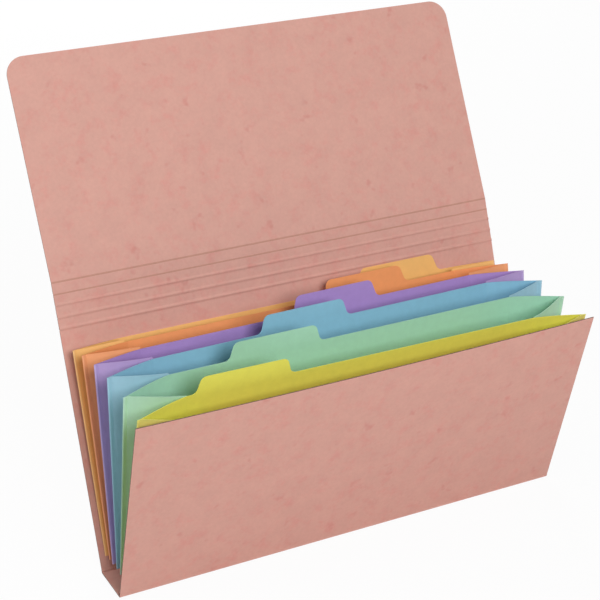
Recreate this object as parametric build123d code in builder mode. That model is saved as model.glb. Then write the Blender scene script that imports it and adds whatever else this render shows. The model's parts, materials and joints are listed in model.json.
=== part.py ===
from build123d import *
import os
from math import cos, radians, sin

# Expanding file with six coloured pockets, standing open on its base with the flap up.
# Millimetres and degrees. X runs along the width, Y to the back, Z up.
# The origin is the middle of the underside of the base.

# Cover: one sheet of pressboard, scored and folded
width = 260.0
board = 0.5
base_depth = 24.0
back_height = 127.0
strip_pitch = 6.1
strip_count = 4
flap_length = 115.3
flap_corner = 10.0
# Bare line that each panel keeps from a score, so that the fold can close without a clash
score_gap = 0.3

# How far each panel leans back from upright, as the file stands open
front_lean_deg = -14.4
back_lean_deg = 20.8
strip_lean_deg = 21.4
flap_lean_deg = 27.8

# Coloured sheets, from the back to the front, one pocket each
sheet = 0.25
sheet_inset = 3.3
sheet_bottom = 8.6
# The top edges of the sheets stand this far above the front panel when the file is shut
sheet_rise = 1.0
gusset_width = 28.2
glue_width = 8.0
glue_gap = 0.1
floor_gap = 0.3
sheet_names = ["gold", "orange", "purple", "blue", "green", "yellow"]
# The gold sheet is glued to the back panel, so it leans as that does
sheet_lean_deg = [back_lean_deg, 18.6, 12.7, 6.3, -2.2, -10.7]
# Where the outer fold of each sheet leans to, drawn forward by the gusset
crest_lean_deg = [16.9, 13.3, 7.4, 0.9, -7.2, -14.5]

# Index tabs, stepped from right to left across the sheets
tab_height = 9.5
tab_foot = 50.8
tab_top = 45.2
tab_corner = 3.5
tab_margin = 4.6
# Room left over the tabs, under the top strips of the shut file
tab_headroom = 0.5

# Worked out from the sizes above
fold_height = board / 2
fold_reach = base_depth / 2 - board / 2
pocket_count = len(sheet_names)
pocket_pitch = base_depth / pocket_count
crest_x = width / 2 - sheet_inset
divider_x = crest_x - gusset_width
tab_pitch = (2 * divider_x - tab_foot - 2 * tab_margin) / (pocket_count - 1)
tab_ramp = (tab_foot - tab_top) / 2
sheet_top = back_height - tab_headroom - tab_height
sheet_height = sheet_top - sheet_bottom
front_height = sheet_top - sheet_rise

os.makedirs("parts", exist_ok=True)


def up(lean):
    """Direction up a panel that leans back by this angle."""
    return Vector(0, sin(radians(lean)), cos(radians(lean)))


def forward(lean):
    """Direction square to that panel, towards the front of the file."""
    return Vector(0, -cos(radians(lean)), sin(radians(lean)))


def panel_plane(foot, lean):
    """Plane in the middle of a panel: its X along the width, its Y up the panel."""
    return Plane(origin=foot, x_dir=(1, 0, 0), z_dir=forward(lean))


def save(piece, label):
    piece.part.label = label
    export_step(piece.part, f"parts/{label}.step")


def cover_panel(label, foot, lean, length, free_end=False, corner=0.0):
    """A flat panel of the cover from one score to the next, or to its free edge."""
    reach = length if free_end else length - score_gap
    with BuildPart() as panel:
        with BuildSketch(panel_plane(foot, lean)) as outline:
            with Locations((0, (score_gap + reach) / 2)):
                Rectangle(width, reach - score_gap)
            if corner > 0:
                fillet(outline.vertices().group_by(Axis.Y)[-1], radius=corner)
        extrude(amount=board / 2, both=True)
    save(panel, label)
    return foot + up(lean) * length


# Cover, folded round from the front to the flap
with BuildPart() as base_panel:
    with BuildSketch(Plane.XY.offset(fold_height)):
        Rectangle(width, 2 * (fold_reach - score_gap))
    extrude(amount=board / 2, both=True)
save(base_panel, "base_panel")

front_fold = Vector(0, -fold_reach, fold_height)
back_fold = Vector(0, fold_reach, fold_height)
cover_panel("front_panel", front_fold, front_lean_deg, front_height, free_end=True)
score = cover_panel("back_panel", back_fold, back_lean_deg, back_height)
for number in range(1, strip_count + 1):
    score = cover_panel(f"top_strip_{number}", score, strip_lean_deg, strip_pitch)
cover_panel("closing_flap", score, flap_lean_deg, flap_length, free_end=True, corner=flap_corner)


# Walls of the pockets from the back to the front: foot line, lean and half thickness
gold_foot = back_fold + forward(back_lean_deg) * (board / 2 + sheet / 2)
sheet_feet = [gold_foot]
for place in range(1, pocket_count):
    sheet_feet.append(Vector(0, base_depth / 2 - place * pocket_pitch, fold_height))
walls = [(foot, lean, sheet / 2) for foot, lean in zip(sheet_feet, sheet_lean_deg)]
walls.append((front_fold, front_lean_deg, board / 2))


def divider(name, place):
    """The flat middle of a coloured sheet, with its index tab."""
    foot, lean, _ = walls[place]
    tab_x = divider_x - tab_margin - tab_foot / 2 - place * tab_pitch
    with BuildPart() as middle:
        with BuildSketch(panel_plane(foot, lean)) as outline:
            with Locations((0, sheet_bottom + sheet_height / 2)):
                Rectangle(2 * divider_x, sheet_height)
            with BuildLine():
                Polyline(
                    (tab_x - tab_foot / 2, sheet_top),
                    (tab_x - tab_foot / 2 + tab_ramp, sheet_top + tab_height),
                    (tab_x + tab_foot / 2 - tab_ramp, sheet_top + tab_height),
                    (tab_x + tab_foot / 2, sheet_top),
                    close=True,
                )
            make_face()
            levels = outline.vertices().group_by(Axis.Y)
            fillet(levels[-1] + levels[-2].sort_by(Axis.X)[1:-1], radius=tab_corner)
        extrude(amount=sheet / 2, both=True)
    save(middle, f"{name}_divider")


def pocket_floor(name, place):
    """The folded lip along the foot of a sheet, which closes the pocket in front of it."""
    foot, lean, half = walls[place]
    next_foot, _, next_half = walls[place + 1]
    lip = foot.Y - next_foot.Y - half - next_half - floor_gap
    side = divider_x - glue_width - floor_gap
    with BuildPart() as lip_strip:
        with BuildSketch(panel_plane(foot, lean).offset(half)):
            with Locations((0, sheet_bottom + sheet / 2)):
                Rectangle(2 * side, sheet)
        extrude(amount=lip)
    save(lip_strip, f"{name}_pocket_floor")


def gusset_section(place, reach, side):
    """Section through a side fold at this reach up the sheet, as a sketch in its own plane.

    The sheet is creased along the divider, runs forward to its crest, and turns back there into
    the flap that is glued behind the next wall.
    """
    foot, lean, half = walls[place]
    next_foot, next_lean, next_half = walls[place + 1]
    mean_lean = (lean + crest_lean_deg[place]) / 2
    origin = foot + up(lean) * reach
    plane = Plane(origin=origin, x_dir=(side, 0, 0), z_dir=up(mean_lean) * -side)
    crest = 2 * reach * sin(radians((lean - crest_lean_deg[place]) / 2))
    behind = (next_foot - origin).dot(forward(next_lean)) - next_half - glue_gap - half
    glue = behind / cos(radians(mean_lean - next_lean))
    # Inside the crest, the two layers part one sheet's thickness apart
    sheet_slope = crest / gusset_width
    flap_slope = (glue - crest) / gusset_width
    inner_run = 2 * half / (sheet_slope + flap_slope)
    inner = (crest_x - inner_run, crest - sheet_slope * inner_run + half)
    with BuildSketch(plane) as section:
        with BuildLine():
            Polyline(
                (divider_x, half),
                (divider_x, -half),
                (crest_x, crest - half),
                (crest_x, crest + half),
                (divider_x, glue + half),
                (divider_x - glue_width, glue + half),
                (divider_x - glue_width, glue - half),
                (divider_x, glue - half),
                inner,
                close=True,
            )
        make_face()
    return section


def gusset(name, place, side, side_name):
    """One side fold of a coloured sheet, ruled from its foot to its top."""
    low = gusset_section(place, sheet_bottom, side)
    high = gusset_section(place, sheet_top, side)
    with BuildPart() as fold:
        loft(sections=[low.sketch.faces()[0], high.sketch.faces()[0]], ruled=True)
    save(fold, f"{name}_gusset_{side_name}")


for place, name in enumerate(sheet_names):
    divider(name, place)
    pocket_floor(name, place)
    gusset(name, place, -1, "left")
    gusset(name, place, 1, "right")
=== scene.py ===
import json
from math import asin, atan2, cos, degrees, pi, radians, sin

import bmesh
import bpy
from bpy.props import FloatProperty, FloatVectorProperty, IntProperty, PointerProperty
from mathutils import Matrix, Vector


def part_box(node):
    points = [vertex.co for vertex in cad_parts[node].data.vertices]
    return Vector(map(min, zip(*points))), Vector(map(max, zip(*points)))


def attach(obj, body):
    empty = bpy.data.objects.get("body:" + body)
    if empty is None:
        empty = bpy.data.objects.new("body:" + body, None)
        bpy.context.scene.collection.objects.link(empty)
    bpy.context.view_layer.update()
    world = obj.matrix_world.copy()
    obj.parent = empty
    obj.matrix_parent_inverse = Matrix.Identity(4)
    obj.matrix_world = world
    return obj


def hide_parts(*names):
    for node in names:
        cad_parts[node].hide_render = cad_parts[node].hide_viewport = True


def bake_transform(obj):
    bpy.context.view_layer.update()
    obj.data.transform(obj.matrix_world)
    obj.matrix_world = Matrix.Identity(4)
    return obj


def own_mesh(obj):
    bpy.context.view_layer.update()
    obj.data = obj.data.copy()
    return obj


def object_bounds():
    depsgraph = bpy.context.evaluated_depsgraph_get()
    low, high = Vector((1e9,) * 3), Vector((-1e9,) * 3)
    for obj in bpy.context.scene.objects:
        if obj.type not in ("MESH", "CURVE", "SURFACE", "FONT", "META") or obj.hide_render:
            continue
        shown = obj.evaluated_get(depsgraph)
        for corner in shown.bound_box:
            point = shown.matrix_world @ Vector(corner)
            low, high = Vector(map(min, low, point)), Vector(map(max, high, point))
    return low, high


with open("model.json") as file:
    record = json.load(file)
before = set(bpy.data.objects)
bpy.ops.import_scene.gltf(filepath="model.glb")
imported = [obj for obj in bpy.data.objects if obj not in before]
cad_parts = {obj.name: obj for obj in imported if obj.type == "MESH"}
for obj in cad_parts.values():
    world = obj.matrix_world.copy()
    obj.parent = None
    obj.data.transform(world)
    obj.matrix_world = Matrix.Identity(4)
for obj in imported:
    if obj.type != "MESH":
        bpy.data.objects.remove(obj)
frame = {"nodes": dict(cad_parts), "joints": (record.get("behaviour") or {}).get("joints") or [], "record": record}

bl_info = {
    "name": "Expanding file",
    "version": (1, 0, 0),
    "blender": (4, 5, 0),
    "location": "View3D > Sidebar > File",
    "description": "Dresses an expanding file of pressboard and coloured card, and sets its stage",
    "category": "Object",
}

CAD_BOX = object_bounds()
# The sheets from the back to the front
COLOURS = ["gold", "orange", "purple", "blue", "green", "yellow"]
SIDES = {"left": -1, "right": 1}
MM = 0.001
# Points of a mesh this near to each other are one point
MERGED = 0.001 * MM
# Points whose reach differs by less than this lie along one end
LEVEL = 0.01 * MM
# Faces that meet at less than this angle make one flat face
FLAT = radians(1)
# A bend sharper than this is shaded as an edge
CRISP = radians(35)
# Columns that a sheet is cut into, so that it can twist
COLUMNS = 24
# Points along and across the ridge of a score, and round a bead
RIDGE_POINTS = (40, 13)
BEAD_POINTS = 16
# A leaf that moves alike all over still needs a blend of some length
SHORTEST_BLEND = 0.001
# Share of the seam's height that the glued margin is kept to, so that it stays hidden behind its sheet
MARGIN_HEIGHT = 0.985


def linear(code):
    """Linear colour of an sRGB hex value."""
    channels = [int(code[i:i + 2], 16) / 255 for i in (1, 3, 5)]
    return [c / 12.92 if c <= 0.04045 else ((c + 0.055) / 1.055) ** 2.4 for c in channels]


# What the frame says of the folds

JOINTS = {joint["name"]: joint for joint in frame["joints"]}
AXES = {name: Vector(joint["pos_m"]) for name, joint in JOINTS.items()}
BEHAVIOUR = frame["record"]["behaviour"]
CLOSING_TURN = JOINTS["top_fold"]["range_deg"][1]
# Closing the file brings every wall upright, so a wall leans by the share of that turn it follows
LEANS = {c["joint"]: c["ratio"] * CLOSING_TURN for c in BEHAVIOUR["couplings"]}
# Walls of the pockets from the back to the front, each as its body and the joint that tilts it
WALLS = [("back", "back_fold")]
WALLS += [(f"{colour}_sheet", f"{colour}_sheet_tilt") for colour in COLOURS[1:]]
WALLS += [("front", "front_fold")]
BASE_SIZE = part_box("base_panel")[1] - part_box("base_panel")[0]
WIDTH = BASE_SIZE.x
BOARD = BASE_SIZE.z
SCORE_COUNT = 1 + len(BEHAVIOUR["bodies"]["top"])
DIVIDER_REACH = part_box("gold_divider")[1].x
# How much further back the left and right ends of a sheet lean than its middle, in degrees
TWISTS = {"orange": (-0.4, 0.1), "purple": (-1.3, 0.6), "blue": (-0.9, 0.6), "green": (0.0, 0.1),
          "yellow": (0.3, -0.8)}
# How far a sheet lies to the right of its place
SHIFTS = {"gold": -1.6 * MM}
# The crests are drawn in by so many millimetres at the foot and at the top
PULLS = {"gold": (1.7, 1.1), "orange": (0.8, 0.5), "purple": (0.5, 0.8), "blue": (0.8, 0.8),
         "green": (0.5, 0.8), "yellow": (0.0, 0.0)}
# How far the upper end of a seam lies below the top of its sheet
DROPS = {"yellow": 5.0 * MM}


def end_line(node, outermost):
    """Foot and top of the end of a node that lies at its largest or smallest reach from the middle."""
    points = [v.co for v in frame["nodes"][node].data.vertices]
    reach = (max if outermost else min)(abs(p.x) for p in points)
    ends = [p for p in points if abs(abs(p.x) - reach) < LEVEL]
    middle = sum((p.z for p in ends), 0.0) / len(ends)
    lower = [p for p in ends if p.z < middle]
    upper = [p for p in ends if p.z >= middle]
    return [sum(group, Vector()) / len(group) for group in (lower, upper)]


def lean_of(line):
    """How far a line from foot to top leans back from upright, in degrees."""
    rise = line[1] - line[0]
    return degrees(atan2(rise.y, rise.z))


def twist_at(place, x):
    """How much further back a wall leans at this end than in its middle, in degrees."""
    left, right = TWISTS.get(WALLS[place][0].removesuffix("_sheet"), (0, 0))
    return left if x < 0 else right


def twisted(point, place):
    """Where a point at the end of a wall lies when the wall is twisted."""
    axis = AXES[WALLS[place][1]]
    turn = Matrix.Rotation(-radians(twist_at(place, point.x)), 3, "X")
    return axis + turn @ (point - axis)


class CoverSettings(bpy.types.PropertyGroup):
    """Sizes and tones of the pressboard cover."""

    ridge_widths: FloatVectorProperty(
        name="Score widths",
        description="Widths of the ridges that the creasing rule raised, from the back up",
        size=SCORE_COUNT, default=[w * MM for w in (2.6, 2.6, 2.4, 0.8, 0.9)], unit="LENGTH")
    ridge_heights: FloatVectorProperty(
        name="Score heights", description="How far those ridges stand out on the inner face",
        size=SCORE_COUNT, default=[h * MM for h in (0.46, 0.42, 0.38, 0.08, 0.06)], unit="LENGTH")
    ridge_shifts: FloatVectorProperty(
        name="Score shifts", description="How far the tops of those ridges lie above their scores",
        size=SCORE_COUNT, default=[s * MM for s in (0.65, 0.45, 0.6, -0.08, -0.12)], unit="LENGTH")
    fold_width: FloatProperty(
        name="Fold width",
        description="Diameter of the two beads that the creasing rule left in a fold of the base",
        default=0.9 * MM, unit="LENGTH")
    front_turns: FloatVectorProperty(
        name="Front turns", description="How far the front leans out further at its left and right ends",
        size=2, default=[radians(a) for a in (0.70, -0.02)], unit="ROTATION")
    front_bow: FloatProperty(
        name="Front bow", description="How far the middle of the front leans out beyond its ends",
        default=radians(0.68), unit="ROTATION")
    front_keep: FloatProperty(
        name="Front keep", description="Share of that bow which is left when the file is shut",
        default=0.15, subtype="FACTOR", min=0.01, max=1)
    clear: FloatVectorProperty(
        name="Clear tone", description="Colour of the board between the patches",
        subtype="COLOR", default=linear("#d39f92"))
    blush: FloatVectorProperty(
        name="Blush tone", description="Colour of the soft pinker patches in the pulp",
        subtype="COLOR", default=linear("#d49186"))
    fleck: FloatVectorProperty(
        name="Fleck tone", description="Colour of the small darker flecks in the pulp",
        subtype="COLOR", default=linear("#ca8077"))
    # Darker tone of the low scores: partly crushed fibres, partly painted shade of the line along each score
    crease: FloatVectorProperty(
        name="Crease tone", description="Colour of the fibres that the creasing rule crushed",
        subtype="COLOR", default=linear("#c08d7c"))
    # A darker colour painted on every cut edge of the cover, its ends and its top edges
    cut: FloatVectorProperty(
        name="Cut tone", description="Colour of the cut edges, which hold more dust",
        subtype="COLOR", default=linear("#70574f"))


class CardSettings(bpy.types.PropertyGroup):
    """Colours of the sheets and the fineness of their curved sides."""

    gold: FloatVectorProperty(
        name="Gold", description="Colour of the rearmost sheet", subtype="COLOR",
        default=linear("#f2bc6e"))
    orange: FloatVectorProperty(
        name="Orange", description="Colour of the second sheet", subtype="COLOR",
        default=linear("#f39d60"))
    purple: FloatVectorProperty(
        name="Purple", description="Colour of the third sheet", subtype="COLOR",
        default=linear("#ad8cce"))
    blue: FloatVectorProperty(
        name="Blue", description="Colour of the fourth sheet", subtype="COLOR",
        default=linear("#8bc1db"))
    green: FloatVectorProperty(
        name="Green", description="Colour of the fifth sheet", subtype="COLOR",
        default=linear("#a9dcc3"))
    yellow: FloatVectorProperty(
        name="Yellow", description="Colour of the front sheet", subtype="COLOR",
        default=linear("#e7e45d"))
    thickness: FloatProperty(
        name="Card thickness", description="Thickness of a coloured sheet",
        default=0.25 * MM, unit="LENGTH")
    crest_width: FloatProperty(
        name="Crest width", description="Thickness of the doubled card along a crest",
        default=0.56 * MM, unit="LENGTH")
    crest_depth: FloatProperty(
        name="Crest depth", description="How far in from the crest the fold is rounded",
        default=1.1 * MM, unit="LENGTH")
    # A pale grey mixed into the colour that the gusset flaps show, by a share for each sheet
    reverse: FloatVectorProperty(
        name="Reverse", description="Undyed pulp that greys the reverse of the card", subtype="COLOR",
        default=linear("#e4dcca"))
    reverse_shares: FloatVectorProperty(
        name="Reverse shares", description="How much of that tone each reverse shows, from gold to yellow",
        size=len(COLOURS), default=(0.03, 0.09, 0.14, 0.15, 0.13, 0.17), min=0, max=1)
    # Paler along a crest: partly broken fibres, partly a painted highlight of the rounded fold
    crest_fades: FloatVectorProperty(
        name="Crest fades", description="How much paler the card is along a crest, from gold to yellow",
        size=len(COLOURS), default=(0.08, 0.08, 0.18, 0.15, 0.15, 0.1), min=0, max=1)
    # The 29th of the 31 steps between the points across, so that a row of points lies along the knee
    knee: FloatProperty(
        name="Knee", description="Share of a side's width at which its two layers meet, short of the crest",
        default=29 / 31, subtype="FACTOR", min=0.1, max=0.99)
    crease: FloatProperty(
        name="Crease", description="How sharply a side leaves its crease: 1 is flat, 0 springs round",
        default=0.6, subtype="FACTOR", min=0, max=1)
    points_across: IntProperty(
        name="Points across", description="Points across a curved side", default=32, min=2)
    points_up: IntProperty(
        name="Points up", description="Points up a curved side", default=13, min=2)


class StageSettings(bpy.types.PropertyGroup):
    """Camera, lamps and floor."""

    camera_place: FloatVectorProperty(
        name="Camera place", description="Where the camera stands", subtype="TRANSLATION",
        unit="LENGTH", default=(-0.3760, -0.6656, 0.4918))
    camera_turn: FloatVectorProperty(
        name="Camera turn", description="Turn to the left, tilt and roll of a camera that looks along +Y",
        subtype="EULER", unit="ROTATION", default=[radians(a) for a in (-27.932, -25.187, -0.603)])
    lens: FloatProperty(
        name="Lens", description="Focal length on a 36 mm wide sensor, in millimetres",
        default=100.05, unit="CAMERA")
    key_power: FloatProperty(
        name="Key lamp", description="Power of the soft lamp before the file, in watts",
        default=14.0, unit="POWER")
    side_power: FloatProperty(
        name="Side lamp", description="Power of the soft lamp at its left, in watts",
        default=3.2, unit="POWER")
    back_power: FloatProperty(
        name="Back lamp", description="Power of the soft lamp behind it, in watts",
        default=11.0, unit="POWER")
    sky: FloatProperty(
        name="Sky", description="Strength of the even light from all round", default=0.12)


class ExpandingFileSettings(bpy.types.PropertyGroup):
    """All settings of the expanding file."""

    cover: PointerProperty(
        name="Cover", description="Settings of the cover", type=CoverSettings)
    card: PointerProperty(
        name="Card", description="Settings of the card", type=CardSettings)
    stage: PointerProperty(
        name="Stage", description="Settings of the stage", type=StageSettings)


# Small helpers

def add_node(tree, kind, inputs=None, **settings):
    """Adds a node with its settings, and a value or a link for each input named."""
    node = tree.nodes.new(kind)
    for name, value in settings.items():
        setattr(node, name, value)
    for name, value in (inputs or {}).items():
        if isinstance(value, bpy.types.NodeSocket):
            tree.links.new(value, node.inputs[name])
        else:
            node.inputs[name].default_value = value
    return node


def per_mm(size):
    """Texture scale that gives a pattern this size in millimetres."""
    return 1 / (size * MM)


def new_material(name):
    """An empty material, with its tree and its surface shader."""
    material = bpy.data.materials.new(name)
    material.use_nodes = True
    tree = material.node_tree
    tree.nodes.clear()
    shader = add_node(tree, "ShaderNodeBsdfPrincipled")
    add_node(tree, "ShaderNodeOutputMaterial", {"Surface": shader.outputs["BSDF"]})
    return material, tree, shader


def paint(node, material):
    """Gives a node of the frame its finish."""
    materials = frame["nodes"][node].data.materials
    materials.clear()
    materials.append(material)


def finished(name, tree, inputs, thickness=0.0, offset=0.0, mesh=None):
    """A plain mesh object made by a geometry tree, with a thickness where it makes a bare surface."""
    piece = bpy.data.objects.new(name, mesh or bpy.data.meshes.new(name))
    bpy.context.scene.collection.objects.link(piece)
    modifier = piece.modifiers.new("shape", "NODES")
    modifier.node_group = tree
    sockets = {s.name: s.identifier for s in tree.interface.items_tree if s.in_out == "INPUT"}
    for label, value in inputs.items():
        modifier[sockets[label]] = value
    if thickness > 0:
        solid = piece.modifiers.new("thickness", "SOLIDIFY")
        solid.thickness = thickness
        solid.offset = offset
    graph = bpy.context.evaluated_depsgraph_get()
    graph.update()
    mesh = bpy.data.meshes.new_from_object(piece.evaluated_get(graph))
    piece.modifiers.clear()
    # Round along a bend and crisp along a cut edge
    mesh.set_sharp_from_angle(angle=CRISP)
    piece.data = mesh
    mesh.name = name
    if len(mesh.polygons) == 0:
        raise RuntimeError(f"{name} came out empty")
    return piece


# Materials

def pressboard(name, clear, blush, fleck, cut):
    """Pressboard: dyed pulp pressed hard between rollers.

    The eye sees a dull face with a fine grain, soft pinker patches and a few darker flecks where the pulp
    took more dye.
    """
    material, tree, shader = new_material(name)
    place = add_node(tree, "ShaderNodeTexCoord").outputs["Object"]
    board = (*clear, 1)
    # Tone, size in millimetres, detail, the band of noise that it fades in over, and its largest share
    layers = [(blush, 8, 4.0, 0.45, 0.78, 0.76), (fleck, 9, 2.0, 0.62, 0.82, 0.66)]
    for tone, size, detail, start, full, most in layers:
        patches = add_node(tree, "ShaderNodeTexNoise", {
            "Vector": place, "Scale": per_mm(size), "Detail": detail, "Roughness": 0.68})
        share = add_node(tree, "ShaderNodeMapRange", {
            "Value": patches.outputs["Fac"], "From Min": start, "From Max": full, "To Max": most},
            interpolation_type="SMOOTHSTEP")
        board = add_node(tree, "ShaderNodeMix", {
            "Factor": share.outputs["Result"], "A": board, "B": (*tone, 1)},
            data_type="RGBA").outputs["Result"]
    # The real grain of about 0.3 mm is drawn coarser, so that it shows
    fibres = add_node(tree, "ShaderNodeTexNoise", {
        "Vector": place, "Scale": per_mm(1.8), "Detail": 2.0, "Roughness": 0.6})
    clouds = add_node(tree, "ShaderNodeTexNoise", {
        "Vector": place, "Scale": per_mm(11), "Detail": 3.0, "Roughness": 0.55})
    # From a little darker to a little lighter, by the grain and where the pulp lies thicker or thinner
    swing = {"From Min": 0.3, "From Max": 0.7, "To Min": 0.975, "To Max": 1.025}
    grain = add_node(tree, "ShaderNodeMapRange", {"Value": fibres.outputs["Fac"], **swing})
    depth = add_node(tree, "ShaderNodeMapRange", {"Value": clouds.outputs["Fac"], **swing})
    shade = add_node(tree, "ShaderNodeMath", {
        0: grain.outputs["Result"], 1: depth.outputs["Result"]}, operation="MULTIPLY")
    grainy = add_node(tree, "ShaderNodeHueSaturation", {"Color": board, "Value": shade.outputs["Value"]})
    relief = add_node(tree, "ShaderNodeBump", {
        "Height": fibres.outputs["Fac"], "Strength": 0.35, "Distance": 0.05 * MM})
    # The cut edges take the darker cut tone
    edged = add_node(tree, "ShaderNodeMix", {
        "Factor": cut_edge(tree), "A": grainy.outputs["Color"], "B": (*cut, 1)}, data_type="RGBA")
    tree.links.new(edged.outputs["Result"], shader.inputs["Base Color"])
    tree.links.new(relief.outputs["Normal"], shader.inputs["Normal"])
    shader.inputs["Roughness"].default_value = 0.72
    shader.inputs["IOR"].default_value = 1.45
    return material


def cut_edge(tree):
    """1 on the cut edges of the cover: its ends, and the edges that look up from above the base."""
    # How far a face has to look sideways or up, and the height that no face of the base or its folds reaches
    least_sideways = 0.5
    least_upward = 0.8
    least_height = 50 * MM
    given = add_node(tree, "ShaderNodeTexCoord").outputs
    way = add_node(tree, "ShaderNodeSeparateXYZ", {"Vector": given["Normal"]})
    place = add_node(tree, "ShaderNodeSeparateXYZ", {"Vector": given["Object"]})
    sideways = add_node(tree, "ShaderNodeMath", {0: way.outputs["X"]}, operation="ABSOLUTE")
    end = add_node(tree, "ShaderNodeMath", {
        0: sideways.outputs["Value"], 1: least_sideways}, operation="GREATER_THAN")
    upward = add_node(tree, "ShaderNodeMath", {
        0: way.outputs["Z"], 1: least_upward}, operation="GREATER_THAN")
    high = add_node(tree, "ShaderNodeMath", {
        0: place.outputs["Z"], 1: least_height}, operation="GREATER_THAN")
    top = add_node(tree, "ShaderNodeMath", {
        0: upward.outputs["Value"], 1: high.outputs["Value"]}, operation="MULTIPLY")
    return add_node(tree, "ShaderNodeMath", {
        0: end.outputs["Value"], 1: top.outputs["Value"]}, operation="MAXIMUM").outputs["Value"]


def dyed_card(name, tone):
    """Dyed card: smooth uncoated stock of about 200 g/m2.

    The eye sees an even, dull colour with the faintest clouding of the fibres.
    """
    material, tree, shader = new_material(name)
    place = add_node(tree, "ShaderNodeTexCoord").outputs["Object"]
    fibres = add_node(tree, "ShaderNodeTexNoise", {
        "Vector": place, "Scale": per_mm(4), "Detail": 5.0, "Roughness": 0.65})
    spread = add_node(tree, "ShaderNodeMapRange", {
        "Value": fibres.outputs["Fac"], "From Min": 0.3, "From Max": 0.7})
    # The deepest that the fibres cloud the tone
    deep = [c * 0.94 for c in tone]
    dyed = add_node(tree, "ShaderNodeMix", {
        "Factor": spread.outputs["Result"], "A": (*tone, 1), "B": (*deep, 1)}, data_type="RGBA")
    tooth = add_node(tree, "ShaderNodeTexNoise", {
        "Vector": place, "Scale": per_mm(0.6), "Detail": 2.0})
    relief = add_node(tree, "ShaderNodeBump", {
        "Height": tooth.outputs["Fac"], "Strength": 0.2, "Distance": 0.03 * MM})
    tree.links.new(dyed.outputs["Result"], shader.inputs["Base Color"])
    tree.links.new(relief.outputs["Normal"], shader.inputs["Normal"])
    shader.inputs["Roughness"].default_value = 0.65
    shader.inputs["IOR"].default_value = 1.45
    return material


def material_of(name, make, *tones):
    """The material of that name, made the first time that it is asked for."""
    return bpy.data.materials.get(name) or make(name, *tones)


def cover_finish(settings):
    """Mottled pressboard, as on the panels of the cover."""
    return material_of("pressboard", pressboard, settings.clear, settings.blush, settings.fleck, settings.cut)


def crease_and_shade_finish(settings):
    """Pressboard along a low score that the creasing rule crushed, darker by its crushed fibres and by painted
    shade of the line along the score.
    """
    return material_of(
        "creased_pressboard", pressboard, settings.crease, settings.crease, settings.fleck, settings.cut)


def card_finish(settings, colour):
    """The face of a sheet of this colour."""
    return material_of(f"{colour}_dyed_card", dyed_card, getattr(settings, colour))


def reverse_finish(settings, colour):
    """The reverse of the card, which the gusset flaps show, mixed towards the pale grey by its sheet's share."""
    share = settings.reverse_shares[COLOURS.index(colour)]
    tone = [c + (r - c) * share for c, r in zip(getattr(settings, colour), settings.reverse)]
    return material_of(f"{colour}_card_reverse", dyed_card, tone)


def crest_fibre_and_highlight_finish(settings, colour):
    """Card along a sharp fold, paler where the broken fibres show, and paler as a painted highlight of the rounded
    fold.
    """
    fade = settings.crest_fades[COLOURS.index(colour)]
    tone = [c + (1 - c) * fade for c in getattr(settings, colour)]
    return material_of(f"{colour}_folded_card", dyed_card, tone)


# Shapes made by rule

def new_tree(name, inputs):
    """A geometry tree with these inputs, its input node and an open output node."""
    tree = bpy.data.node_groups.new(name, "GeometryNodeTree")
    for label, kind in inputs:
        tree.interface.new_socket(label, in_out="INPUT", socket_type=f"NodeSocket{kind}")
    tree.interface.new_socket("Geometry", in_out="OUTPUT", socket_type="NodeSocketGeometry")
    return tree, add_node(tree, "NodeGroupInput").outputs


def close_tree(tree, geometry, material):
    """Ends a tree with smooth, real, painted geometry."""
    smooth = add_node(tree, "GeometryNodeSetShadeSmooth", {"Geometry": geometry})
    real = add_node(tree, "GeometryNodeRealizeInstances", {"Geometry": smooth.outputs["Geometry"]})
    painted = add_node(tree, "GeometryNodeSetMaterial", {
        "Geometry": real.outputs["Geometry"], "Material": material})
    add_node(tree, "NodeGroupOutput", {"Geometry": painted.outputs["Geometry"]})
    return tree


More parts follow.
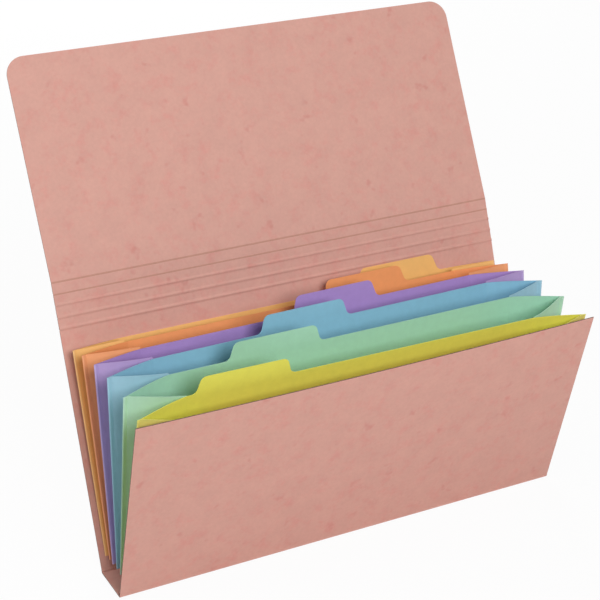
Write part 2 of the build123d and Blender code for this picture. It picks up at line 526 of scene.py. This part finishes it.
def leaf_tree():
    """A sheet that runs from one straight line to another, ruled from foot to top.

    Crease says how it leaves the root: 1 is a sharp crease and a flat sheet, 0 is a strip that is held
    flat at its root and springs over. At the knee it turns into the narrow strip along its edge.
    """
    tree, given = new_tree("bent_leaf", [
        ("Root Foot", "Vector"), ("Root Top", "Vector"), ("Knee Foot", "Vector"), ("Knee Top", "Vector"),
        ("Edge Foot", "Vector"), ("Edge Top", "Vector"), ("Knee", "Float"), ("Crease", "Float"),
        ("Points Across", "Int"), ("Points Up", "Int"), ("Material", "Material")])
    grid = add_node(tree, "GeometryNodeMeshGrid", {
        "Size X": 1.0, "Size Y": 1.0, "Vertices X": given["Points Across"], "Vertices Y": given["Points Up"]})
    place = add_node(tree, "ShaderNodeSeparateXYZ", {
        "Vector": add_node(tree, "GeometryNodeInputPosition").outputs["Position"]})
    across = add_node(tree, "ShaderNodeMath", {0: place.outputs["X"], 1: 0.5}, operation="ADD")
    up = add_node(tree, "ShaderNodeMath", {0: place.outputs["Y"], 1: 0.5}, operation="ADD")
    near = add_node(tree, "ShaderNodeMapRange", {"Value": across.outputs["Value"], "From Max": given["Knee"]})
    far = add_node(tree, "ShaderNodeMapRange", {"Value": across.outputs["Value"], "From Min": given["Knee"]})
    # bend = near * (crease + (1 - crease) * near * (3 - near) / 2)
    slack = add_node(tree, "ShaderNodeMath", {0: 3.0, 1: near.outputs["Result"]}, operation="SUBTRACT")
    sprung = add_node(tree, "ShaderNodeMath", {
        0: slack.outputs["Value"], 1: near.outputs["Result"]}, operation="MULTIPLY")
    half = add_node(tree, "ShaderNodeMath", {0: sprung.outputs["Value"], 1: 0.5}, operation="MULTIPLY")
    slope = add_node(tree, "ShaderNodeMix", {
        "Factor": given["Crease"], "A": half.outputs["Value"], "B": 1.0})
    bend = add_node(tree, "ShaderNodeMath", {
        0: near.outputs["Result"], 1: slope.outputs["Result"]}, operation="MULTIPLY")
    share = add_node(tree, "ShaderNodeCombineXYZ", {
        "X": near.outputs["Result"], "Y": bend.outputs["Value"], "Z": bend.outputs["Value"]})
    ends = []
    for end in ("Foot", "Top"):
        panel = add_node(tree, "ShaderNodeVectorMath", {
            0: given[f"Knee {end}"], 1: given[f"Root {end}"]}, operation="SUBTRACT")
        strip = add_node(tree, "ShaderNodeVectorMath", {
            0: given[f"Edge {end}"], 1: given[f"Knee {end}"]}, operation="SUBTRACT")
        reached = add_node(tree, "ShaderNodeVectorMath", {
            0: panel.outputs["Vector"], 1: share.outputs["Vector"], 2: given[f"Root {end}"]},
            operation="MULTIPLY_ADD")
        further = add_node(tree, "ShaderNodeVectorMath", {
            0: strip.outputs["Vector"], "Scale": far.outputs["Result"]}, operation="SCALE")
        ends.append(add_node(tree, "ShaderNodeVectorMath", {
            0: reached.outputs["Vector"], 1: further.outputs["Vector"]}, operation="ADD"))
    rise = add_node(tree, "ShaderNodeVectorMath", {
        0: ends[1].outputs["Vector"], 1: ends[0].outputs["Vector"]}, operation="SUBTRACT")
    climb = add_node(tree, "ShaderNodeVectorMath", {
        0: rise.outputs["Vector"], "Scale": up.outputs["Value"]}, operation="SCALE")
    point = add_node(tree, "ShaderNodeVectorMath", {
        0: ends[0].outputs["Vector"], 1: climb.outputs["Vector"]}, operation="ADD")
    laid = add_node(tree, "GeometryNodeSetPosition", {
        "Geometry": grid.outputs["Mesh"], "Position": point.outputs["Vector"]})
    return close_tree(tree, laid.outputs["Geometry"], given["Material"])


def bead_tree():
    """Rounded beads from a start to an end, side by side, as a fold or a creasing rule leaves them."""
    tree, given = new_tree("rounded_beads", [
        ("Start", "Vector"), ("End", "Vector"), ("Step", "Vector"), ("Count", "Int"),
        ("Width", "Float"), ("Height", "Float"), ("Material", "Material")])
    line = add_node(tree, "GeometryNodeCurvePrimitiveLine", {"Start": given["Start"], "End": given["End"]})
    ring = add_node(tree, "GeometryNodeCurvePrimitiveCircle", {"Resolution": BEAD_POINTS, "Radius": 0.5})
    oval = add_node(tree, "GeometryNodeTransform", {
        "Geometry": ring.outputs["Curve"],
        "Scale": add_node(tree, "ShaderNodeCombineXYZ", {
            "X": given["Width"], "Y": given["Height"], "Z": 1.0}).outputs["Vector"]})
    bead = add_node(tree, "GeometryNodeCurveToMesh", {
        "Curve": line.outputs["Curve"], "Profile Curve": oval.outputs["Geometry"], "Fill Caps": True})
    places = add_node(tree, "GeometryNodeMeshLine", {"Count": given["Count"], "Offset": given["Step"]})
    repeated = add_node(tree, "GeometryNodeInstanceOnPoints", {
        "Points": places.outputs["Mesh"], "Instance": bead.outputs["Mesh"]})
    return close_tree(tree, repeated.outputs["Instances"], given["Material"])


def ridge_tree():
    """A low rounded ridge from a start to an end, as a creasing rule raises it on the face of board."""
    tree, given = new_tree("creased_ridge", [
        ("Start", "Vector"), ("End", "Vector"), ("Across", "Vector"), ("Rise", "Vector"),
        ("Points Along", "Int"), ("Points Across", "Int"), ("Material", "Material")])
    grid = add_node(tree, "GeometryNodeMeshGrid", {
        "Size X": 1.0, "Size Y": 1.0, "Vertices X": given["Points Along"],
        "Vertices Y": given["Points Across"]})
    place = add_node(tree, "ShaderNodeSeparateXYZ", {
        "Vector": add_node(tree, "GeometryNodeInputPosition").outputs["Position"]})
    along = add_node(tree, "ShaderNodeMath", {0: place.outputs["X"], 1: 0.5}, operation="ADD")
    # rise = (1 + cos(2 pi across)) / 2
    round_about = add_node(tree, "ShaderNodeMath", {0: place.outputs["Y"], 1: 2 * pi}, operation="MULTIPLY")
    wave = add_node(tree, "ShaderNodeMath", {0: round_about.outputs["Value"]}, operation="COSINE")
    lift = add_node(tree, "ShaderNodeMath", {
        0: wave.outputs["Value"], 1: 0.5, 2: 0.5}, operation="MULTIPLY_ADD")
    length = add_node(tree, "ShaderNodeVectorMath", {
        0: given["End"], 1: given["Start"]}, operation="SUBTRACT")
    point = given["Start"]
    ways = [(length.outputs["Vector"], along.outputs["Value"]), (given["Rise"], lift.outputs["Value"]),
            (given["Across"], place.outputs["Y"])]
    for way, share in ways:
        part = add_node(tree, "ShaderNodeVectorMath", {0: way, "Scale": share}, operation="SCALE")
        point = add_node(tree, "ShaderNodeVectorMath", {
            0: point, 1: part.outputs["Vector"]}, operation="ADD").outputs["Vector"]
    laid = add_node(tree, "GeometryNodeSetPosition", {"Geometry": grid.outputs["Mesh"], "Position": point})
    return close_tree(tree, laid.outputs["Geometry"], given["Material"])


def twist_tree():
    """A sheet turned about its foot, by one angle at its left end and another at its right.

    Bow is how much further its middle turns.
    """
    tree, given = new_tree("twisted_sheet", [
        ("Sheet", "Geometry"), ("Foot", "Vector"), ("Reach", "Float"), ("Left Turn", "Float"),
        ("Right Turn", "Float"), ("Bow", "Float"), ("Shift", "Vector"), ("Material", "Material")])
    position = add_node(tree, "GeometryNodeInputPosition").outputs["Position"]
    place = add_node(tree, "ShaderNodeSeparateXYZ", {"Vector": position})
    back = add_node(tree, "ShaderNodeMath", {0: given["Reach"], 1: -1.0}, operation="MULTIPLY")
    angle = add_node(tree, "ShaderNodeMapRange", {
        "Value": place.outputs["X"], "From Min": back.outputs["Value"], "From Max": given["Reach"],
        "To Min": given["Left Turn"], "To Max": given["Right Turn"]})
    # angle + bow * (1 - (x / reach) ** 2)
    share = add_node(tree, "ShaderNodeMath", {0: place.outputs["X"], 1: given["Reach"]}, operation="DIVIDE")
    square = add_node(tree, "ShaderNodeMath", {
        0: share.outputs["Value"], 1: share.outputs["Value"]}, operation="MULTIPLY")
    bulge = add_node(tree, "ShaderNodeMath", {0: 1.0, 1: square.outputs["Value"]}, operation="SUBTRACT")
    whole = add_node(tree, "ShaderNodeMath", {
        0: bulge.outputs["Value"], 1: given["Bow"], 2: angle.outputs["Result"]}, operation="MULTIPLY_ADD")
    turned = add_node(tree, "ShaderNodeVectorRotate", {
        "Vector": position, "Center": given["Foot"], "Angle": whole.outputs["Value"]}, rotation_type="X_AXIS")
    laid = add_node(tree, "GeometryNodeSetPosition", {
        "Geometry": given["Sheet"], "Position": turned.outputs["Vector"], "Offset": given["Shift"]})
    return close_tree(tree, laid.outputs["Geometry"], given["Material"])


def columns(node):
    """A copy of a node's mesh, cut into columns so that it can twist."""
    mesh = bpy.data.meshes.new(node)
    shape = bmesh.new()
    shape.from_mesh(frame["nodes"][node].data)
    bmesh.ops.remove_doubles(shape, verts=shape.verts, dist=MERGED)
    # The narrow triangles of its flat faces would shade unevenly once they are bent
    bmesh.ops.dissolve_limit(shape, angle_limit=FLAT, verts=shape.verts, edges=shape.edges)
    left, right = [corner.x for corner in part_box(node)]
    for number in range(1, COLUMNS):
        x = left + (right - left) * number / COLUMNS
        bmesh.ops.bisect_plane(
            shape, geom=[*shape.verts, *shape.edges, *shape.faces], plane_co=(x, 0, 0), plane_no=(1, 0, 0))
    shape.to_mesh(mesh)
    shape.free()
    return mesh


# Motion of the side folds

def unsmooth(weight):
    """Where along a blend a point has this weight, since the weights of a blend follow a smooth step."""
    return 0.5 - sin(asin(1 - 2 * weight) / 3)


def closing(place, root_lean, edge_lean):
    """The neighbouring wall that can bring a leaf upright with the least error, and the leaf's weights."""
    best = None
    for wall in (place, place + 1):
        turn = LEANS[WALLS[wall][1]]
        weights = [min(max(lean / turn, 0.0), 1.0) for lean in (root_lean, edge_lean)]
        error = sum(abs(w * turn - lean) for w, lean in zip(weights, (root_lean, edge_lean)))
        if best is None or error < best[0]:
            best = (error, WALLS[wall][0], weights)
    return best[1:]


def follow(piece, weights):
    """Takes a leaf's weights, one along its root and another along its edge, as places along a blend, and bakes
    the leaf's place into its mesh; nothing here turns it with a wall.
    """
    root_t, edge_t = [unsmooth(w) for w in weights]
    if abs(edge_t - root_t) < SHORTEST_BLEND:
        edge_t = root_t + SHORTEST_BLEND
    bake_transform(piece)


class EXPANDINGFILE_OT_cover(bpy.types.Operator):
    """Gives the panels of the cover their pressboard, and bows the front"""

    bl_idname = "expanding_file.cover"
    bl_label = "Cover"

    def execute(self, context):
        settings = context.scene.expanding_file.cover
        board = cover_finish(settings)
        nodes = ["base_panel", "back_panel", "closing_flap"]
        for node in nodes + BEHAVIOUR["bodies"]["top"]:
            paint(node, board)
        # The sprung sheets push the front out, and the shut flap presses it nearly flat again; here the front is
        # bowed as in the open file
        front = finished("front_cover", twist_tree(), {
            "Foot": AXES["front_fold"], "Reach": WIDTH / 2, "Left Turn": settings.front_turns[0],
            "Right Turn": settings.front_turns[1], "Bow": settings.front_bow, "Material": board},
            mesh=columns("front_panel"))
        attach(front, "front")
        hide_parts("front_panel")
        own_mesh(front)
        return {"FINISHED"}


class EXPANDINGFILE_OT_scores(bpy.types.Operator):
    """Makes the five scores from the back to the flap and the two folds of the base"""

    bl_idname = "expanding_file.scores"
    bl_label = "Scores and folds"

    def execute(self, context):
        settings = context.scene.expanding_file.cover
        first, last = AXES["top_fold"], AXES["flap_fold"]
        step = (last - first) / (SCORE_COUNT - 1)
        along = step.normalized()
        inward = Vector((0, -along.z, along.y))
        end = Vector((WIDTH / 2, 0, 0))
        tree = ridge_tree()
        bodies = [("back", "top"), *[("top",)] * (SCORE_COUNT - 2), ("top", "flap")]
        # A lower ridge than this is no more than a crushed line, drawn in the darker crease tone, which is partly
        # painted shade
        least_raised = BOARD / 4
        for number in range(SCORE_COUNT):
            width = settings.ridge_widths[number]
            height = settings.ridge_heights[number]
            score = first + step * number
            middle = score + inward * BOARD / 2 + along * settings.ridge_shifts[number]
            finish = cover_finish if height > least_raised else crease_and_shade_finish
            ridge = finished(f"score_{number + 1}", tree, {
                "Start": middle - end, "End": middle + end, "Across": along * width, "Rise": inward * height,
                "Points Along": RIDGE_POINTS[0], "Points Across": RIDGE_POINTS[1],
                "Material": finish(settings)}, thickness=BOARD / 2, offset=-1.0)
            if len(bodies[number]) == 2:
                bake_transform(ridge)
            else:
                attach(ridge, *bodies[number])
        tree = bead_tree()
        width = settings.fold_width
        for name in ("front_fold", "back_fold"):
            # The lower bead rests on the floor, and the other lies above it along the panel
            middle = AXES[name] + Vector((0, 0, (width - BOARD) / 2))
            lean = radians(LEANS[name])
            fold = finished(f"base_{name}", tree, {
                "Start": middle - end, "End": middle + end, "Count": 2,
                "Step": Vector((0, sin(lean), cos(lean))) * width, "Width": width, "Height": width,
                "Material": cover_finish(settings)})
            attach(fold, "base")
        return {"FINISHED"}


class EXPANDINGFILE_OT_dividers(bpy.types.Operator):
    """Gives the tabbed dividers and the pocket floors their card, and twists the dividers"""

    bl_idname = "expanding_file.dividers"
    bl_label = "Dividers"

    def execute(self, context):
        tree = twist_tree()
        for place, colour in enumerate(COLOURS):
            card = card_finish(context.scene.expanding_file.card, colour)
            paint(f"{colour}_pocket_floor", card)
            node = f"{colour}_divider"
            body, joint = WALLS[place]
            left, right = [twist_at(place, x) for x in (-1, 1)]
            sheet = finished(f"{colour}_sheet_middle", tree, {
                "Foot": AXES[joint], "Reach": DIVIDER_REACH, "Left Turn": -radians(left),
                "Right Turn": -radians(right), "Shift": (SHIFTS.get(colour, 0.0), 0, 0), "Material": card},
                mesh=columns(node))
            lean = LEANS[joint]
            weights = [min((lean + twist) / lean, 1.0) for twist in (left, right)]
            follow(sheet, weights)
            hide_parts(node)
        return {"FINISHED"}


class EXPANDINGFILE_OT_gussets(bpy.types.Operator):
    """Makes the side folds of the six sheets, as they stand in the open file"""

    bl_idname = "expanding_file.gussets"
    bl_label = "Gussets"

    def execute(self, context):
        trees = {"leaf": leaf_tree(), "bead": bead_tree()}
        for place, colour in enumerate(COLOURS):
            for side in SIDES:
                self.fold(context.scene.expanding_file.card, trees, place, colour, side)
        return {"FINISHED"}

    def fold(self, settings, trees, place, colour, side):
        """One side fold: the sheet's side, its crest, the flap behind the next wall and its glued margin."""
        node = f"{colour}_gusset_{side}"
        sign = SIDES[side]
        root = end_line(f"{colour}_divider", True)
        crest = end_line(node, True)
        glued = end_line(node, False)
        shift = SHIFTS.get(colour, 0.0)
        root_x = sign * DIVIDER_REACH + shift
        for point, pull in zip(crest, PULLS[colour]):
            point.x = sign * (abs(point.x) - pull * MM) + shift
        root = [twisted(Vector((root_x, p.y, p.z)), place) for p in root]
        seam = [twisted(Vector((root_x, p.y, p.z)), place + 1) for p in glued]
        glued = [twisted(p, place + 1) for p in glued]
        for foot, top in (seam, glued):
            top += (foot - top).normalized() * DROPS.get(colour, 0.0)
        wall, next_wall = [LEANS[WALLS[k][1]] + twist_at(k, sign) for k in (place, place + 1)]
        forward = Vector((0, -settings.thickness, 0))
        knee = [r + (c - r) * settings.knee for r, c in zip(root, crest)]
        card = card_finish(settings, colour)
        body, weights = closing(place, wall, lean_of(crest))
        wing = self.leaf(f"{colour}_wing_{side}", trees["leaf"], (root, knee, crest), settings, card)
        follow(wing, weights)
        # The crest bead is painted paler: broken fibres and a painted highlight
        ridge = finished(f"{colour}_crest_{side}", trees["bead"], {
            "Start": crest[0] + forward / 2, "End": crest[1] + forward / 2, "Count": 1,
            "Width": settings.crest_depth, "Height": settings.crest_width,
            "Material": crest_fibre_and_highlight_finish(settings, colour)})
        follow(ridge, weights)
        body, weights = closing(place, next_wall, lean_of(crest))
        lines = seam, [p + forward for p in knee], [p + forward for p in crest]
        reverse = reverse_finish(settings, colour)
        flap = self.leaf(f"{colour}_gusset_flap_{side}", trees["leaf"], lines, settings, reverse)
        follow(flap, weights)
        seam, glued = [[foot, foot.lerp(top, MARGIN_HEIGHT)] for foot, top in (seam, glued)]
        lines = seam, [s + (g - s) * settings.knee for s, g in zip(seam, glued)], glued
        margin = self.leaf(f"{colour}_glued_margin_{side}", trees["leaf"], lines, settings, card)
        share = min(next_wall / LEANS[WALLS[place + 1][1]], 1.0)
        follow(margin, [share, share])
        for piece in (wing, ridge, flap, margin):
            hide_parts(node)

    def leaf(self, name, tree, lines, settings, material):
        """A leaf from its root over its knee to its edge, each of them a line from foot to top."""
        inputs = {"Knee": settings.knee, "Crease": settings.crease, "Points Across": settings.points_across,
                  "Points Up": settings.points_up, "Material": material}
        for label, line in zip(("Root", "Knee", "Edge"), lines):
            inputs[f"{label} Foot"], inputs[f"{label} Top"] = line
        return finished(name, tree, inputs, settings.thickness)


class EXPANDINGFILE_OT_stage(bpy.types.Operator):
    """Lays the floor and sets the lamps and the camera"""

    bl_idname = "expanding_file.stage"
    bl_label = "Stage"

    def execute(self, context):
        settings = context.scene.expanding_file.stage
        self.floor()
        self.sky(context.scene, settings.sky)
        # Degrees to the right of the front and up, distance in metres, and power
        lamps = {
            "key_lamp": ((-3, 31), 1.4, settings.key_power),
            "side_lamp": ((-95, 45), 1.0, settings.side_power),
            "back_lamp": ((165, 20), 1.5, settings.back_power)}
        for name, (direction, distance, power) in lamps.items():
            self.lamp(name, direction, distance, power)
        turn = settings.camera_turn
        look = Matrix.Rotation(turn[0], 4, "Z") @ Matrix.Rotation(turn[1], 4, "X")
        look = look @ Matrix.Rotation(turn[2], 4, "Y") @ Matrix.Rotation(pi / 2, 4, "X")
        data = bpy.data.cameras.new("camera")
        data.sensor_width = 36.0
        data.lens = settings.lens
        camera = bpy.data.objects.new("camera", data)
        camera.matrix_world = Matrix.Translation(settings.camera_place) @ look
        context.scene.collection.objects.link(camera)
        context.scene.camera = camera
        context.scene.view_settings.view_transform = "Standard"
        return {"FINISHED"}

    def floor(self):
        """A plain pale floor that is nearly white to the eye and keeps a soft shadow."""
        # How far it reaches each way, in metres, and how much of plain white the eye sees in it
        reach = 3.0
        glow_share = 0.95
        mesh = bpy.data.meshes.new("floor")
        corners = [(-reach, -reach, 0), (reach, -reach, 0), (reach, reach, 0), (-reach, reach, 0)]
        mesh.from_pydata(corners, [], [(0, 1, 2, 3)])
        floor = bpy.data.objects.new("floor", mesh)
        bpy.context.scene.collection.objects.link(floor)
        material, tree, shader = new_material("white_paper_floor")
        shader.inputs["Base Color"].default_value = (*linear("#e4e4e4"), 1)
        shader.inputs["Roughness"].default_value = 0.9
        glow = add_node(tree, "ShaderNodeEmission", {"Color": (1, 1, 1, 1), "Strength": 1.0})
        share = add_node(tree, "ShaderNodeMath", {0: self.seen(tree), 1: glow_share}, operation="MULTIPLY")
        mixed = add_node(tree, "ShaderNodeMixShader", {
            "Fac": share.outputs["Value"], 1: shader.outputs["BSDF"], 2: glow.outputs["Emission"]})
        tree.links.new(mixed.outputs["Shader"], tree.nodes["Material Output"].inputs["Surface"])
        mesh.materials.append(material)

    def seen(self, tree):
        """1 for a ray that shows the background to the eye, straight or by gloss or glass."""
        path = add_node(tree, "ShaderNodeLightPath").outputs
        gloss = add_node(tree, "ShaderNodeMath", {
            0: path["Is Camera Ray"], 1: path["Is Glossy Ray"]}, operation="MAXIMUM")
        return add_node(tree, "ShaderNodeMath", {
            0: gloss.outputs["Value"], 1: path["Is Transmission Ray"]}, operation="MAXIMUM").outputs["Value"]

    def sky(self, scene, strength):
        """White to the eye, and an even soft light."""
        world = bpy.data.worlds.new("studio")
        world.use_nodes = True
        tree = world.node_tree
        tree.nodes.clear()
        light = add_node(tree, "ShaderNodeBackground", {"Color": (1, 1, 1, 1), "Strength": strength})
        white = add_node(tree, "ShaderNodeBackground", {"Color": (1, 1, 1, 1), "Strength": 1.0})
        mixed = add_node(tree, "ShaderNodeMixShader", {
            "Fac": self.seen(tree), 1: light.outputs["Background"], 2: white.outputs["Background"]})
        add_node(tree, "ShaderNodeOutputWorld", {"Surface": mixed.outputs["Shader"]})
        scene.world = world

    def lamp(self, name, direction, distance, power):
        """A square soft lamp, half as wide as it is far away, that looks at the middle of the file."""
        data = bpy.data.lights.new(name, "AREA")
        data.size = distance / 2
        data.energy = power
        lamp = bpy.data.objects.new(name, data)
        round_about, up = [radians(a) for a in direction]
        towards = Vector((sin(round_about) * cos(up), -cos(round_about) * cos(up), sin(up)))
        lamp.location = (CAD_BOX[0] + CAD_BOX[1]) / 2 + towards * distance
        lamp.rotation_euler = towards.to_track_quat("Z", "Y").to_euler()
        bpy.context.scene.collection.objects.link(lamp)


OPERATORS = [EXPANDINGFILE_OT_cover, EXPANDINGFILE_OT_scores, EXPANDINGFILE_OT_dividers,
             EXPANDINGFILE_OT_gussets, EXPANDINGFILE_OT_stage]


class EXPANDINGFILE_PT_panel(bpy.types.Panel):
    """The pieces of the expanding file, one button each"""

    bl_label = "Expanding file"
    bl_idname = "EXPANDINGFILE_PT_panel"
    bl_space_type = "VIEW_3D"
    bl_region_type = "UI"
    bl_category = "File"

    def draw(self, context):
        for operator in OPERATORS:
            self.layout.operator(operator.bl_idname)


CLASSES = [CoverSettings, CardSettings, StageSettings, ExpandingFileSettings, *OPERATORS,
           EXPANDINGFILE_PT_panel]


def register():
    """Makes the classes and the settings known to Blender."""
    for cls in CLASSES:
        bpy.utils.register_class(cls)
    bpy.types.Scene.expanding_file = PointerProperty(type=ExpandingFileSettings)


def unregister():
    """Takes them away again."""
    del bpy.types.Scene.expanding_file
    for cls in reversed(CLASSES):
        bpy.utils.unregister_class(cls)


def main():
    """Builds every piece and the stage."""
    register()
    bpy.ops.expanding_file.cover()
    bpy.ops.expanding_file.scores()
    bpy.ops.expanding_file.dividers()
    bpy.ops.expanding_file.gussets()
    bpy.ops.expanding_file.stage()


if __name__ == "__main__":
    main()
